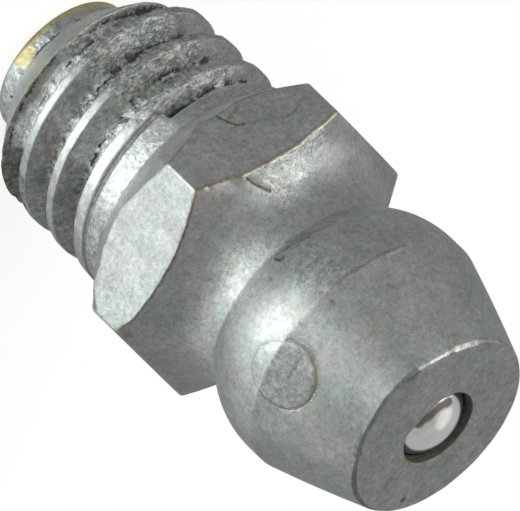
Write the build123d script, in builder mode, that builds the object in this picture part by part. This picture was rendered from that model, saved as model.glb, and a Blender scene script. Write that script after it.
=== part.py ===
from build123d import *
from math import sqrt, tan, radians
import os

# Straight hydraulic grease nipple, cone-head pattern, with a short M6x1
# stud and 7 mm hexagon. Millimetres. +Z runs up the axis from the stud's end
# to the tip. The origin is on the axis, in the plane of the stud's end face.
# The corners of the hexagon lie on +Y and -Y, its flats face +X and -X.

# ---- driving dimensions -------------------------------------------------
length = 13.5            # end of the stud to the tip face

# stud
thread_r = 2.97          # crest radius of the M6x1 thread, half way up the stud
spigot_r = 1.83          # plain end, left for closing in the lip
spigot_h = 0.45          # a 45 degree lead chamfer runs out from here
spigot_round = 0.15
lead_top_z = spigot_h + (thread_r - spigot_r)

# hexagon
flats = 7.0              # across flats
hex_back_z = 6.161       # where the corners start and end
hex_front_z = 7.142
hex_r = flats / sqrt(3)  # corner radius
back_cone_z = hex_back_z - (hex_r - thread_r)       # 45 degree back chamfer
front_cone_z = hex_front_z + (hex_r - flats / 2) / 1.75   # 30 degree front chamfer

# waist between the hexagon and the coupler head
waist_r = 2.73
waist_low_z = 8.78
waist_top_z = 8.944

# coupler head
head_r = 3.25
shoulder_z = 10.42       # the rounded shoulder ends, the short land starts
ridge_z = 10.86          # the land ends, the cone starts
tip_r = 2.43
tip_chamfer = 0.10
tip_chamfer_h = 0.13

# ball, its port and its seat
port_r = 0.965           # hole in the tip face
ball_r = 1.25
ball_z = 12.42           # centre, ball held against the port by the spring
seat_gap = 0.0065        # how far the closed ball stands off the seat's edge
seat_z = ball_z + sqrt((ball_r + seat_gap) ** 2 - port_r ** 2)
drill_point = 59.0       # half angle of the drilled bore's end
bore_r = 1.40
bore_top_z = seat_z - (bore_r - port_r) / tan(radians(drill_point))

# lip closed in round the stud's end, which holds the spring
lip_r = 1.02
lip_h = 0.35

# spring: one closed coil at each end, open coils between
wire_r = 0.15
coil_r = 1.05            # mean radius
end_pitch = 0.315
spring_low_z = lip_h + wire_r + 0.01
spring_top_z = ball_z - sqrt((ball_r + wire_r) ** 2 - coil_r ** 2) - 0.012
open_coils = 12
open_h = spring_top_z - spring_low_z - 2 * end_pitch

os.makedirs("parts", exist_ok=True)

# ---- body: turned from hexagon bar, stud, hexagon and head in one piece ----
with BuildPart() as body:
    with BuildSketch(Plane.XZ) as blank:
        with BuildLine() as outline:
            Polyline(
                (0, 0),
                (spigot_r, 0),
                (spigot_r, spigot_h),
                (thread_r, lead_top_z),
                (thread_r, back_cone_z),
                (hex_r, hex_back_z),
                (hex_r, hex_front_z),
                (flats / 2, front_cone_z),
            )
            # hollow sweep from the front chamfer into the waist, square to it at the bottom
            TangentArc((flats / 2, front_cone_z), (waist_r, waist_low_z), tangent=(0, -1), tangent_from_first=False)
            Line((waist_r, waist_low_z), (waist_r, waist_top_z))
            # rounded back of the head, flush with the land at its top
            TangentArc((waist_r, waist_top_z), (head_r, shoulder_z), tangent=(0, -1), tangent_from_first=False)
            Polyline(
                (head_r, shoulder_z),
                (head_r, ridge_z),
                (tip_r, length - tip_chamfer_h),
                (tip_r - tip_chamfer, length),
                (0, length),
                (0, 0),
            )
        make_face()
    revolve(axis=Axis.Z)
    # six flats, bounded above and below by the turned chamfers
    with BuildSketch() as hexagon:
        RegularPolygon(radius=flats / 2, side_count=6, major_radius=False, rotation=30)
    extrude(amount=length, mode=Mode.INTERSECT)
    # rolled edge of the spigot
    fillet(
        body.edges().filter_by(GeomType.CIRCLE).group_by(Axis.Z)[0].sort_by(SortBy.RADIUS)[-1],
        radius=spigot_round,
    )
    # drilled bore with its pointed end, the port through the tip and the lip's hole
    with BuildSketch(Plane.XZ) as bore_section:
        with BuildLine():
            Polyline(
                (0, -0.5),
                (lip_r, -0.5),
                (lip_r, lip_h),
                (bore_r, lip_h),
                (bore_r, bore_top_z),
                (port_r, seat_z),
                (port_r, length + 0.5),
                (0, length + 0.5),
                (0, -0.5),
            )
        make_face()
    revolve(axis=Axis.Z, mode=Mode.SUBTRACT)
body.part.label = "nipple_body"
export_step(body.part, "parts/nipple_body.step")

# ---- check ball, closing the port from inside ----
with BuildPart() as ball:
    with Locations((0, 0, ball_z)):
        Sphere(radius=ball_r)
ball.part.label = "check_ball"
export_step(ball.part, "parts/check_ball.step")

# ---- compression spring, standing on the lip and pressing the ball up ----
with BuildPart() as spring:
    with BuildLine() as coil:
        Helix(pitch=end_pitch, height=end_pitch, radius=coil_r, center=(0, 0, spring_low_z))
        Helix(pitch=open_h / open_coils, height=open_h, radius=coil_r,
              center=(0, 0, spring_low_z + end_pitch))
        Helix(pitch=end_pitch, height=end_pitch, radius=coil_r,
              center=(0, 0, spring_low_z + end_pitch + open_h))
    with BuildSketch(Plane(origin=coil.wires()[0] @ 0, z_dir=coil.wires()[0] % 0)) as wire_section:
        Circle(radius=wire_r)
    sweep(path=coil.wires()[0], is_frenet=True)
spring.part.label = "check_spring"
export_step(spring.part, "parts/check_spring.step")

for piece in (body, ball, spring):
    box = piece.part.bounding_box()
    print(piece.part.label, "solids", len(piece.part.solids()), "volume", round(piece.part.volume, 4),
          "z", round(box.min.Z, 4), round(box.max.Z, 4), "x", round(box.max.X, 4), "y", round(box.max.Y, 4))
print("seat_z", round(seat_z, 4), "bore_top_z", round(bore_top_z, 4), "back_cone_z", round(back_cone_z, 4),
      "front_cone_z", round(front_cone_z, 4), "spring", round(spring_low_z, 3), round(spring_top_z, 3))
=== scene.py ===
"""Looks of a straight grease nipple: M6x1 stud, hexagon, waisted cone head, ball check valve.

Everything is laid out in millimetres on the part's own axis (Z up, stud end at z = 0) and turned
into metres when a mesh is made.  Angles are measured round +Z from +X.
"""

import math

import bpy
import numpy as np
from mathutils import Matrix, Vector


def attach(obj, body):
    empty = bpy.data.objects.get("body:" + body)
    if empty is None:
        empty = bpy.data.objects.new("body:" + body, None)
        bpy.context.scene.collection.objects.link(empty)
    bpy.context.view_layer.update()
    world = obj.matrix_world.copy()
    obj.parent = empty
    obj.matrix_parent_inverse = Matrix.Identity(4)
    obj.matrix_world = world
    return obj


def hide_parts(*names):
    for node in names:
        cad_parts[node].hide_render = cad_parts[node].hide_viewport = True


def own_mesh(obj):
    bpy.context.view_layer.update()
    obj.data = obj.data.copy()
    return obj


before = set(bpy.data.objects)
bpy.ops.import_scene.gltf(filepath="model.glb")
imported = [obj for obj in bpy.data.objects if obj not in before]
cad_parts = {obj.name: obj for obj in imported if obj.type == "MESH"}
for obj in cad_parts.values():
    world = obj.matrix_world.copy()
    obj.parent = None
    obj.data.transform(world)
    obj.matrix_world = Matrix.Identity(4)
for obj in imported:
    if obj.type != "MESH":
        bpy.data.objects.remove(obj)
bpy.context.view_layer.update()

MM = 0.001

# ----------------------------------------------------------------------------------------------
# sizes, in mm
# ----------------------------------------------------------------------------------------------
LENGTH = 13.5
LIP_R = 1.02          # hole in the turned-in lip at the stud end
LIP_H = 0.35
BORE_R = 1.40
PORT_R = 0.965
SEAT_Z = 13.2247      # where the ball closes the port
SEAT_CONE_Z = 12.9633
SPIGOT_R = 1.83
SPIGOT_H = 0.45       # a 45 degree lead chamfer runs out from here under the first turns
END_ROUND = 0.15
THREAD_TOP = 5.10
PLAIN_R = 3.00
PITCH = 1.0
CREST_Z = 3.15        # height of a crest centre where the helix angle is 0
CREST_HALF = 0.12
THREAD_DEPTH = 0.53
FLANK = math.tan(math.radians(66))
HEX_R = 3.5           # half of the across-flats size
HEX_BACK_Z0, HEX_BACK_R0 = 5.0695, 2.95      # 45 degree cone behind the hexagon
FRONT_Z = 7.4514      # where the front chamfer meets the middle of a flat
CORNER_FRONT_Z = 7.142
WAIST_R, WAIST_Z0, WAIST_Z1 = 2.73, 8.78, 8.944
HEAD_R, HEAD_Z0, HEAD_Z1 = 3.25, 10.42, 10.86
TIP_R, TIP_Z = 2.43, 13.37
FACE_R = 2.33
BALL_R, BALL_Z = 1.25, 12.42
WIRE_R, COIL_R = 0.15, 1.05
SPRING_Z0, SPRING_Z1 = 0.51, 11.482          # wire centres of the first and last turn
END_PITCH, OPEN_COILS = 0.315, 12

rng = np.random.default_rng(6106)


# ----------------------------------------------------------------------------------------------
# smooth value noise on points, seeded, used for wear and for attributes
# ----------------------------------------------------------------------------------------------
_lattice = rng.random((32, 32, 32))


def noise(p, scale, shift=0.0):
    """Smooth noise in -1..1 at points p (mm), with features about 1/scale mm across."""
    q = p * scale + 57.3 + shift
    i = np.floor(q).astype(int)
    f = q - i
    f = f * f * f * (f * (6 * f - 15) + 10)
    out = 0.0
    for dx in (0, 1):
        wx = f[..., 0] if dx else 1 - f[..., 0]
        for dy in (0, 1):
            wy = f[..., 1] if dy else 1 - f[..., 1]
            for dz in (0, 1):
                wz = f[..., 2] if dz else 1 - f[..., 2]
                out = out + wx * wy * wz * _lattice[
                    (i[..., 0] + dx) % 32, (i[..., 1] + dy) % 32, (i[..., 2] + dz) % 32
                ]
    return out * 2 - 1


def fractal(p, scale, octaves=3, shift=0.0):
    total, amp, norm = 0.0, 1.0, 0.0
    for k in range(octaves):
        total = total + amp * noise(p, scale * 2**k, shift + 13.7 * k)
        norm += amp
        amp *= 0.5
    return total / norm


def smooth(a, b, x):
    t = np.clip((x - a) / (b - a), 0, 1)
    return t * t * (3 - 2 * t)


def soft_min(a, b, k):
    h = np.clip(0.5 + 0.5 * (b - a) / k, 0, 1)
    return b * (1 - h) + a * h - k * h * (1 - h)


def soft_max(a, b, k):
    return -soft_min(-a, -b, k)


# ----------------------------------------------------------------------------------------------
# outlines
# ----------------------------------------------------------------------------------------------
def spaced(p, q, n, ends=(0.0, 1.0)):
    """n points from p to q, with ends as shares of the way."""
    t = np.linspace(ends[0], ends[1], n)[:, None]
    return np.array(p) * (1 - t) + np.array(q) * t


def arc(centre, radius, a0, a1, n):
    t = np.radians(np.linspace(a0, a1, n))
    return np.stack([centre[0] + radius * np.cos(t), centre[1] + radius * np.sin(t)], 1)


def eased(points, at, size, n=5):
    """The outline with the corner nearest to `at` turned into a small round of that size."""
    points = np.asarray(points, float)
    k = int(np.argmin(np.hypot(*(points - np.array(at)).T)))
    corner = points[k]
    seg = np.hypot(*np.diff(points, axis=0).T)
    s = np.concatenate([[0], np.cumsum(seg)])
    lo, hi = s[k] - size, s[k] + size

    def sample(x):
        return np.array([np.interp(x, s, points[:, 0]), np.interp(x, s, points[:, 1])])

    a, b = sample(lo), sample(hi)
    t = np.linspace(0, 1, n)[:, None]
    bend = a * (1 - t) ** 2 + corner * 2 * t * (1 - t) + b * t**2
    return np.concatenate([points[s < lo - 1e-6], bend, points[s > hi + 1e-6]])


# ----------------------------------------------------------------------------------------------
# columns: every ring of the body has the same angles, close together at the hexagon's corners
# ----------------------------------------------------------------------------------------------
near = np.concatenate([[0, 0.3, 0.62, 0.95, 1.5, 2.3, 3.3], np.linspace(4.5, 30.0, 21)])
theta = np.concatenate(
    [np.concatenate([90 + 60 * k + near, 150 + 60 * k - near[::-1][1:-1]]) for k in range(6)]
)
N = len(theta)                    # starts at the back of the part and runs once round
phi = theta + 89.5 - 360          # helix angle
cos_t, sin_t = np.cos(np.radians(theta)), np.sin(np.radians(theta))

# distance from the axis to the hexagon's sides, with the corners a little rounded
off = np.abs(((theta - 90) + 30) % 60 - 30)                 # degrees from the nearest corner
to_side = np.radians(30 - off)
CORNER_ROUND = 0.08
hex_r = HEX_R / np.cos(to_side)
apex = HEX_R / math.cos(math.radians(30))
centre_r = apex - CORNER_ROUND / math.cos(math.radians(30))
o = np.radians(off)
inside = np.clip(CORNER_ROUND**2 - (centre_r * np.sin(o)) ** 2, 0, None)
round_r = centre_r * np.cos(o) + np.sqrt(inside)
tangent_deg = math.degrees(math.atan2(CORNER_ROUND * 0.5, centre_r + CORNER_ROUND * 0.866))
hex_r = np.where(off < tangent_deg, np.minimum(round_r, hex_r), hex_r)


# ----------------------------------------------------------------------------------------------
# thread: radius as a function of height and helix angle
# ----------------------------------------------------------------------------------------------
def thread_radius(z, ph):
    """Radius of the stud from the lead chamfer up, without wear."""
    turn = (z - CREST_Z - ph / 360.0) / PITCH
    k = np.round(turn)
    q = (turn - k) * PITCH
    root_z = CREST_Z + ph / 360.0 + k * PITCH + np.where(q > 0, 0.5, -0.5)
    drop = soft_max(np.zeros_like(q), (np.abs(q) - CREST_HALF) * FLANK, 0.04)
    # the last groove gets shallow towards the hexagon and stops short at one side
    depth = THREAD_DEPTH * (1 - smooth(4.05, 4.85, z)) * (1 - smooth(4.595, 4.617, root_z)) + 1e-4
    drop = np.clip(soft_min(drop, depth, 0.06), 0, None)
    # torn pocket where it stops
    t = np.clip((-15.0 - ph) / 36.0, 0, 1)
    pocket = 0.27 * smooth(0.0, 0.07, t) * (1 - smooth(0.2, 1.0, t))
    drop = drop + pocket * (1 - smooth(0.07, 0.19, np.abs(z - 4.52 + 0.10 * t)))
    # past that, only a shallow double line runs on beside the last crest
    line = z - 4.43 - ph / 360.0
    on = smooth(-14, -9, ph) * (1 - smooth(118, 150, ph))
    drop = drop + on * (0.075 * (1 - smooth(0.025, 0.085, np.abs(line)))
                        - 0.035 * (1 - smooth(0.0, 0.03, np.abs(line + 0.004))))
    crest = 2.995 - (4.5 - np.minimum(z, 4.5)) * 0.011 - 0.012 * np.sin(np.radians(ph))
    crest = np.where(z > 4.2, crest + (PLAIN_R - crest) * smooth(4.2, 4.7, z), crest)
    lead = SPIGOT_R + (z - SPIGOT_H) * 1.03
    return soft_min(crest - drop, lead, 0.05)


# rows of the thread follow the helix; they run out at a level ring at each end
phase = np.array([0, .05, .09, .108, .122, .14, .18, .225, .27, .31, .342, .37, .405, .45, .5])
phase = np.concatenate([phase, (1 - phase[1:-1])[::-1]])
rows_per_turn = len(phase)
Z_LOW, Z_HIGH = SPIGOT_H, THREAD_TOP

turns = range(-6, 6)
helix = np.array([k + f for k in turns for f in phase])     # in turns, from the crest line
col_z = CREST_Z + phi[:, None] / 360.0 + helix[None, :] * PITCH          # N x rows

# ----------------------------------------------------------------------------------------------
# the body
# ----------------------------------------------------------------------------------------------
verts, faces, column, zone = [], [], [], []
END, THREAD, HEX, HEAD, INSIDE = range(5)


def add_ring(r, z, part):
    """A level or wavy ring of N vertices; r and z are numbers or arrays over the columns."""
    r = np.broadcast_to(np.asarray(r, float), (N,))
    z = np.broadcast_to(np.asarray(z, float), (N,))
    start = len(verts)
    for j in range(N):
        verts.append((r[j] * cos_t[j], r[j] * sin_t[j], z[j]))
        column.append(j)
        zone.append(part)
    ids = np.arange(start, start + N)
    return ids


def join(a, b):
    """Faces between ring a and ring b, b being the next one along the outline."""
    for j in range(N):
        k = (j + 1) % N
        faces.append((a[j], a[k], b[k], b[j]))


# stud end: lip hole, end face, rounded spigot, shoulder up to where the thread starts
end = np.concatenate([
    spaced((LIP_R, LIP_H), (LIP_R, 0.0), 3),
    spaced((LIP_R, 0.0), (SPIGOT_R - END_ROUND, 0.0), 5)[1:],
    arc((SPIGOT_R - END_ROUND, END_ROUND), END_ROUND, -90, 0, 6)[1:],
    spaced((SPIGOT_R, END_ROUND), (SPIGOT_R, SPIGOT_H), 6)[1:],
])
end = eased(end, (LIP_R, 0), 0.05, 4)
first = add_ring(*end[0], INSIDE)
previous = first
for r, z in end[1:-1]:
    # the spigot is not quite round: a little fuller on one side
    wide = 1 + (0.016 * np.sin(np.radians(phi)) - 0.008) * smooth(1.2, 1.7, r)
    ids = add_ring(r * wide, z, END)
    join(previous, ids)
    previous = ids

# thread
low_ring = add_ring(thread_radius(np.full(N, Z_LOW), phi), Z_LOW, THREAD)
join(previous, low_ring)
high_r = thread_radius(np.full(N, Z_HIGH), phi)
high_ring = add_ring(high_r, Z_HIGH, THREAD)
NEAR = 0.012
col_r = thread_radius(col_z, np.broadcast_to(phi[:, None], col_z.shape))
index = np.empty((N + 1, len(helix)), int)
for j in range(N):
    for k in range(len(helix)):
        if col_z[j, k] <= Z_LOW + NEAR:
            index[j, k] = low_ring[j]
        elif col_z[j, k] >= Z_HIGH - NEAR:
            index[j, k] = high_ring[j]
        else:
            index[j, k] = len(verts)
            verts.append((col_r[j, k] * cos_t[j], col_r[j, k] * sin_t[j], col_z[j, k]))
            column.append(j)
            zone.append(THREAD)
# the last column is the first one, a turn further along the helix
index[N, :-rows_per_turn] = index[0, rows_per_turn:]
index[N, -rows_per_turn:] = high_ring[0]
for j in range(N):
    for k in range(len(helix) - 1):
        quad = [index[j, k], index[j + 1, k], index[j + 1, k + 1], index[j, k + 1]]
        keep = []
        for v in quad:
            if v not in keep:
                keep.append(v)
        if len(keep) >= 3:
            faces.append(tuple(keep))

# hexagon: back cone, flats and front chamfer run to where they cross, column by column
flare_r = HEX_R - WAIST_R
flare_R = (flare_r**2 + (WAIST_Z0 - FRONT_Z) ** 2) / (2 * flare_r)
flare_c = (WAIST_R + flare_R, WAIST_Z0)
slope = math.tan(math.radians(30))
a_end = math.degrees(math.atan2(FRONT_Z - WAIST_Z0, HEX_R - flare_c[0])) % 360
flare = np.concatenate([
    spaced((apex, FRONT_Z - (apex - HEX_R) * slope), (HEX_R, FRONT_Z), 12),
    arc(flare_c, flare_R, a_end, 180.0, 40)[1:],
])
flare_s = np.concatenate([[0], np.cumsum(np.hypot(*np.diff(flare, axis=0).T))])


def flare_from(r0, n):
    """The front outline from radius r0 down to the waist, n points a little closer together at the edge."""
    s0 = np.interp(-r0, -flare[:, 0], flare_s)
    t = np.linspace(0, 1, n)
    t = t * (0.55 + 0.45 * t)
    s = s0 + (flare_s[-1] - s0) * t
    return np.stack([np.interp(s, flare_s, flare[:, 0]), np.interp(s, flare_s, flare[:, 1])], 1)


# how far the two edges of the flats stray from true, by helix angle
back_wave = np.interp(phi, [-180, -120, -60, -52, -43, -36, -30, -26, -19, -15.5, -12.4, -7, -1.2, 0, 3, 9, 14, 18, 23.5,
                            29, 36, 38.1, 41, 47, 54, 57, 58.8, 62, 110, 178],
                      [.02, -.03, -.05, -.055, -.058, -.035, .01, .008, -.085, -.06, .03, .01, -.025, -.04, 0, .026, .025,
                       .008, -.043, -.02, -.002, .02, -.013, .009, -.02, .03, .11, .02, -.03, .02])
front_wave = np.interp(phi, [-180, -110, -58, -54, -50, -46, -41.7, -37, -24, -17.6, -14.5, -12, -8.4, -4.9, 0, 5.6, 10.5,
                             15.5, 20.8, 26, 31.7, 34.4, 36.5, 41, 45, 48.7, 51.4, 54, 57, 60, 120, 178],
                       [-.02, .02, .02, .015, -.022, -.016, .02, 0, -.006, .01, .003, -.05, -.04, -.02, -.012, .01, .02,
                        .018, .03, .024, .005, .026, .005, .018, .003, .01, .02, 0, -.05, -.07, .01, -.02])
edge_round = 0.045 + 0.09 * np.exp(-(((phi - 59.5) / 4.0) ** 2))
columns = []
for j in range(N):
    R = hex_r[j]
    back_z = HEX_BACK_Z0 + (R - HEX_BACK_R0) + back_wave[j]
    front = flare_from(R, 27)
    run = np.concatenate([[0], np.cumsum(np.hypot(*np.diff(front, axis=0).T))])
    front[:, 1] += front_wave[j] * (1 - smooth(0.0, 0.4, run))
    cone = spaced((high_r[j], Z_HIGH), (R, back_z), 9)
    c1 = np.array([R, back_z])
    c2 = front[0]
    d_back = np.array([-1, -1]) / math.sqrt(2)
    d_front = (front[1] - front[0]) / np.hypot(*(front[1] - front[0]))
    e = edge_round[j]
    t = np.linspace(0, 1, 5)[:, None]
    p0, p1 = c1 + d_back * e, c1 + np.array([0, e])
    bend1 = p0 * (1 - t) ** 2 + c1 * 2 * t * (1 - t) + p1 * t**2
    q0, q1 = c2 - np.array([0, e]), c2 + d_front * e
    bend2 = q0 * (1 - t) ** 2 + c2 * 2 * t * (1 - t) + q1 * t**2
    back_line = spaced(cone[0], p0, 10)[1:-1]
    flat = spaced(p1, q0, 16)[1:-1]
    s_front = np.concatenate([[0], np.cumsum(np.hypot(*np.diff(front, axis=0).T))])
    s_new = np.linspace(0, 1, 26)
    s_new = e + (s_front[-1] - e) * s_new * (0.55 + 0.45 * s_new)
    tail = np.stack([np.interp(s_new, s_front, front[:, 0]), np.interp(s_new, s_front, front[:, 1])], 1)[1:]
    columns.append(np.concatenate([back_line, bend1, flat, bend2, tail]))
columns = np.array(columns)                                  # N x rows x 2
previous = high_ring
for k in range(columns.shape[1]):
    ids = add_ring(columns[:, k, 0], columns[:, k, 1], HEX)
    join(previous, ids)
    previous = ids

# head: waist, crease, convex back, land, cone, tip chamfer, face, port, seat, bore
dr = HEAD_R - WAIST_R
back_R = (dr**2 + (HEAD_Z0 - WAIST_Z1) ** 2) / (2 * dr)
a0 = math.degrees(math.atan2(WAIST_Z1 - HEAD_Z0, WAIST_R - (HEAD_R - back_R)))
cone_t = np.linspace(0, 1, 30)
cone_pts = np.stack([
    HEAD_R + (TIP_R - HEAD_R) * cone_t + 0.02 * np.sin(np.pi * cone_t) * 0.95,
    HEAD_Z1 + (TIP_Z - HEAD_Z1) * cone_t + 0.02 * np.sin(np.pi * cone_t) * 0.31,
], 1)
head = np.concatenate([
    spaced((WAIST_R, WAIST_Z0), (WAIST_R, WAIST_Z1), 3),
    arc((HEAD_R - back_R, HEAD_Z0), back_R, a0, 0, 22)[1:],
    spaced((HEAD_R, HEAD_Z0), (HEAD_R, HEAD_Z1), 4)[1:],
    cone_pts[1:],
    spaced((TIP_R, TIP_Z), (FACE_R, LENGTH), 3)[1:],
    spaced((FACE_R, LENGTH), (PORT_R, LENGTH), 12)[1:],
    spaced((PORT_R, LENGTH), (PORT_R, SEAT_Z), 5)[1:],
    spaced((PORT_R, SEAT_Z), (BORE_R, SEAT_CONE_Z), 3)[1:],
    spaced((BORE_R, SEAT_CONE_Z), (BORE_R, LIP_H), 3)[1:],
])
for at, size, n in (
    ((WAIST_R, WAIST_Z1), 0.07, 5), ((HEAD_R, HEAD_Z1), 0.05, 4), ((TIP_R, TIP_Z), 0.028, 4),
    ((FACE_R, LENGTH), 0.028, 4), ((PORT_R, LENGTH), 0.045, 5),
):
    head = eased(head, at, size, n)
# the tip is worn: its chamfer is narrower and set lower or higher from one side to the other
chamfer_up = np.interp(phi, [-180, -110, -70, -51, -39, -34, -25, -16, -10, -3, 4, 11, 18.6, 25.6, 33, 41, 49, 62, 72, 110, 178],
                       [.03, .04, .045, .035, .03, .062, .047, .011, -.012, -.018, -.035, -.03, .005, .018, .02, .055, .075,
                        .06, .05, .035, .03])
chamfer_w = np.interp(phi, [-180, -110, -62, -58, -55, -39, -37.5, -14, -8, 0, 12, 33, 45, 56, 64, 80, 100, 178],
                      [.6, .55, .4, .45, .75, .75, .42, .40, .42, .45, .5, .45, .42, .62, .72, .7, .6, .6])
cone_k = (TIP_R - HEAD_R) / (TIP_Z - HEAD_Z1)
tip_r, tip_z = TIP_R + cone_k * chamfer_up, TIP_Z + chamfer_up
edge_r = tip_r - (TIP_R - FACE_R) * chamfer_w
edge_z = np.minimum(tip_z + (LENGTH - TIP_Z) * chamfer_w, LENGTH)
for n, (r, z) in enumerate(head[1:]):
    inner = z < LENGTH - 1e-6 and r < BORE_R + 1e-6
    if r > FACE_R - 0.035 and z > TIP_Z - 0.035:
        r, z = tip_r + (r - TIP_R) * chamfer_w, np.minimum(tip_z + (z - TIP_Z) * chamfer_w, edge_z)
    elif z > LENGTH - 1e-6:
        z = z - (LENGTH - edge_z) * np.clip((r - 1.25) / (edge_r - 1.25), 0, 1) ** 1.6
    ids = add_ring(r, z, INSIDE if inner else HEAD)
    join(previous, ids)
    previous = ids
join(previous, first)

def area_normals(V, F):
    """Vertex normals weighted by face area, so that wide faces stay flat next to small rounds."""
    normal = np.zeros_like(V)
    by_size = {}
    for f in F:
        by_size.setdefault(len(f), []).append(f)
    for n, fs in by_size.items():
        fs = np.array(fs)
        if n == 4:
            cross = np.cross(V[fs[:, 2]] - V[fs[:, 0]], V[fs[:, 3]] - V[fs[:, 1]]) / 2
        else:
            cross = np.cross(V[fs[:, 1]] - V[fs[:, 0]], V[fs[:, 2]] - V[fs[:, 0]]) / 2
        for c in range(n):
            np.add.at(normal, fs[:, c], cross)
    length = np.linalg.norm(normal, axis=1, keepdims=True)
    return normal / np.where(length > 0, length, 1)


def make_mesh(name, V, F, attributes=None):
    """A smooth-shaded mesh object from points in mm, with area-weighted normals and point attributes."""
    me = bpy.data.meshes.new(name)
    me.from_pydata((V * MM).tolist(), [], [tuple(int(i) for i in f) for f in F])
    me.validate()
    me.polygons.foreach_set("use_smooth", [True] * len(me.polygons))
    me.update()
    me.normals_split_custom_set_from_vertices(area_normals(V, F).tolist())
    for key, values in (attributes or {}).items():
        a = me.attributes.new(key, "FLOAT", "POINT")
        a.data.foreach_set("value", np.asarray(values, np.float32))
    ob = bpy.data.objects.new(name, me)
    bpy.context.scene.collection.objects.link(ob)
    return ob


# ----------------------------------------------------------------------------------------------
# wear, dents and dirt of the body, with painted shade, shadow lines, highlights and glints: how far each vertex moves,
# and masks that the material reads
# ----------------------------------------------------------------------------------------------
V = np.array(verts)
body_faces = faces
column, zone = np.array(column), np.array(zone)
vp, vz, vr = phi[column], V[:, 2].copy(), np.hypot(V[:, 0], V[:, 1])
# masks: the darkening one holds dirt and painted shade; the one for thin dark lines holds painted shade with some grime
# in crevices and recesses; the bright one holds painted highlights besides bare and pale metal; the edge one holds
# painted glints
masks = {k: np.zeros(len(V)) for k in ("dirt_and_shade", "bright", "gold", "crevice_shade_and_grime", "warm", "coarse", "mottle", "streak", "edge")}


def at(r, z, p):
    """Point on the part from radius, height and helix angle."""
    t = math.radians(p - 89.5)
    return np.array([r * math.cos(t), r * math.sin(t), z])


def window(x, a, b, soft):
    """1 between a and b, fading to 0 outside over soft."""
    return smooth(a - soft, a, x) * (1 - smooth(b, b + soft, x))


def around(p, size):
    """1 near the point p, fading out at size."""
    return 1 - smooth(0.35 * size, size, np.linalg.norm(V - np.asarray(p), axis=1))


def along(points, width):
    """1 near the line through the points, fading out at width."""
    best = np.full(len(V), 1e9)
    points = [np.asarray(p, float) for p in points]
    for a, b in zip(points[:-1], points[1:]):
        d = b - a
        t = np.clip((V - a) @ d / (d @ d), 0, 1)
        best = np.minimum(best, np.linalg.norm(V - a - t[:, None] * d, axis=1))
    return 1 - smooth(0.3 * width, width, best)


def paint(name, mask, strength=1.0):
    masks[name] = np.maximum(masks[name], np.clip(mask, 0, 1) * strength)


def wipe(name, mask):
    masks[name] = masks[name] * (1 - np.clip(mask, 0, 1))


n_coarse, n_mid, n_fine = fractal(V, 1.1, 2), fractal(V, 3.0, 2, 5.0), fractal(V, 7.5, 2, 9.0)
n_streak = fractal(V * [1, 1, 2.6], 4.0, 2, 17.0)
move = np.zeros(len(V))

# --- thread
th = zone == THREAD
zq = vz - vp / 360.0                       # height with the helix taken out: crests at 1.15, 2.15, 3.15, 4.15
turn = (zq - CREST_Z) / PITCH
crest_no = np.round(turn)
q = (turn - crest_no) * PITCH
a = np.abs(q)


def ribbon(points, half, fade=2.5):
    """Line on the thread through (helix angle, height along the helix): 1 in the middle, 0.5 at half its width."""
    ps, zs = zip(*sorted(points))
    d = np.abs(zq - np.interp(vp, ps, zs))
    return th * np.clip(1 - d / (2 * half), 0, 1) * window(vp, ps[0] + 0.5 * fade, ps[-1] - 0.5 * fade, fade)


full = th * smooth(1.2, 1.45, vz) * (1 - smooth(4.15, 4.5, vz))
low_side = window(vp, 1, 100, 9)           # side where the metal was burnished
top_side = window(vp, -100, -11, 9)        # side where it was torn
back_side = np.clip(1 - low_side - top_side, 0, 1)
flank = full * smooth(0.11, 0.135, a) * (1 - smooth(0.31, 0.37, a))
root = full * smooth(0.31, 0.37, a)
crest = full * (1 - smooth(0.11, 0.135, a))
first = th & (crest_no == -2) & (q > 0)
flank_low = flank * (1 - first)
move += th * smooth(0.5, 0.9, vz) * 0.006 * n_mid
calm = 1 - 0.75 * smooth(48, 68, -vp) * (vp > -130)     # the torn side gets smoother towards its far end
ragged = np.exp(-(((a - 0.13) / 0.06) ** 2)) * full * calm
tear = 0.014 + 0.055 * top_side + 0.03 * back_side
move -= ragged * tear * np.clip(noise(V, 4.2, 3.0) + 0.15, 0, None)
move -= ragged * 0.03 * np.clip(noise(V, 8.0, 11.0) + 0.1, 0, None) * (0.4 + 0.6 * top_side)
move += root * (0.045 * n_fine + 0.025 * n_mid) * (0.6 + 0.5 * low_side)
move += (flank + 0.6 * crest) * (top_side + 0.5 * back_side) * (0.038 * n_streak + 0.02 * n_mid) * calm
move -= full * (1 - smooth(0.05, 0.10, a)) * 0.012 * np.clip(noise(V, 5.0, 21.0), 0, 1)
# flanks: painted shade, dark and fairly even, on the burnished side and on the first groove's flank; pale and streaky
# on the torn side
paint("dirt_and_shade", flank_low * low_side * (0.36 + 0.30 * n_mid))
paint("warm", flank_low * low_side * (0.15 + 0.8 * n_coarse), 0.5)
floor_z = 1.475 - 0.095 * smooth(26, 42, vp)       # lower edge of the pale floor of the first groove
paint("dirt_and_shade", first * full * low_side * smooth(1.26, 1.28, zq) * (1 - smooth(-0.025, 0.0, zq - floor_z)) * 0.66)
paint("mottle", flank_low * low_side, 0.30)
paint("streak", flank * low_side, 0.25)
paint("dirt_and_shade", flank * (0.14 + 0.35 * n_mid) * top_side)
paint("dirt_and_shade", flank * (0.50 + 0.3 * n_mid) * back_side)
paint("bright", flank * (0.30 + 0.35 * n_mid) * top_side * (q > 0))
paint("streak", flank * (top_side + 0.7 * back_side) * calm, 1.0)
paint("mottle", flank * (top_side + 0.7 * back_side) * calm, 0.36)
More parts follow.
